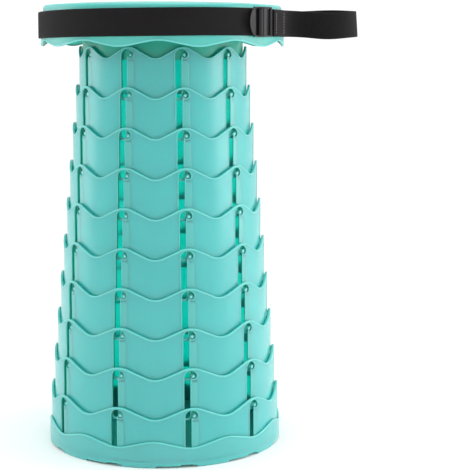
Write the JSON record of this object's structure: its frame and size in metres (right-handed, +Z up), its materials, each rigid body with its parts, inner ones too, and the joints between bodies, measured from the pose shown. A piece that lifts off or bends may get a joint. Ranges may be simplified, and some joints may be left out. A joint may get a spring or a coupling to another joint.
{
  "type": "telescopic stool",
  "caption": "Round portable stool whose nested tubes slide down into a flat disc, with a strap handle on the seat's rim.",
  "frame": {"origin": "on the tubes' axis at floor level, in the middle of the base's underside", "axes": "+Z up along the tubes' axis, -Y the side the picture shows, +X the side with the carry handle"},
  "size_m": [0.3229, 0.2486, 0.4492],
  "materials": {
    "shell": "satin",
    "tube": "satin",
    "seat": "satin",
    "webbing": "woven, matt",
    "buckle": "satin",
    "screw": "plain",
    "thread": "matt"
  },
  "bodies": {
    "base": {"base_shell": "shell", "outer_tube": "tube"},
    "ring_09_body": {"ring_09": "tube"},
    "ring_08_body": {"ring_08": "tube"},
    "ring_07_body": {"ring_07": "tube"},
    "ring_06_body": {"ring_06": "tube"},
    "ring_05_body": {"ring_05": "tube"},
    "ring_04_body": {"ring_04": "tube"},
    "ring_03_body": {"ring_03": "tube"},
    "ring_02_body": {"ring_02": "tube"},
    "ring_01_body": {"ring_01": "tube"},
    "seat": {"core_tube": "tube", "seat_lid": "seat", "centre_cap": "seat", "lid_screws": "screw", "belt_webbing": "webbing", "carry_handle": "webbing", "belt_tail": "webbing", "strap_buckle": "buckle", "handle_stitching": "thread"}
  },
  "joints": [
    {"name": "slide_ring_09", "type": "slide", "parent": "base", "child": "ring_09_body", "axis": [0, 0, 1], "range_m": [-0.0386, 0]},
    {"name": "slide_ring_08", "type": "slide", "parent": "ring_09_body", "child": "ring_08_body", "axis": [0, 0, 1], "range_m": [-0.0386, 0]},
    {"name": "slide_ring_07", "type": "slide", "parent": "ring_08_body", "child": "ring_07_body", "axis": [0, 0, 1], "range_m": [-0.0386, 0]},
    {"name": "slide_ring_06", "type": "slide", "parent": "ring_07_body", "child": "ring_06_body", "axis": [0, 0, 1], "range_m": [-0.0386, 0]},
    {"name": "slide_ring_05", "type": "slide", "parent": "ring_06_body", "child": "ring_05_body", "axis": [0, 0, 1], "range_m": [-0.0386, 0]},
    {"name": "slide_ring_04", "type": "slide", "parent": "ring_05_body", "child": "ring_04_body", "axis": [0, 0, 1], "range_m": [-0.0386, 0]},
    {"name": "slide_ring_03", "type": "slide", "parent": "ring_04_body", "child": "ring_03_body", "axis": [0, 0, 1], "range_m": [-0.0386, 0]},
    {"name": "slide_ring_02", "type": "slide", "parent": "ring_03_body", "child": "ring_02_body", "axis": [0, 0, 1], "range_m": [-0.0386, 0]},
    {"name": "slide_ring_01", "type": "slide", "parent": "ring_02_body", "child": "ring_01_body", "axis": [0, 0, 1], "range_m": [-0.0386, 0]},
    {"name": "slide_seat", "type": "slide", "parent": "ring_01_body", "child": "seat", "axis": [0, 0, 1], "range_m": [-0.0386, 0]}
  ]
}
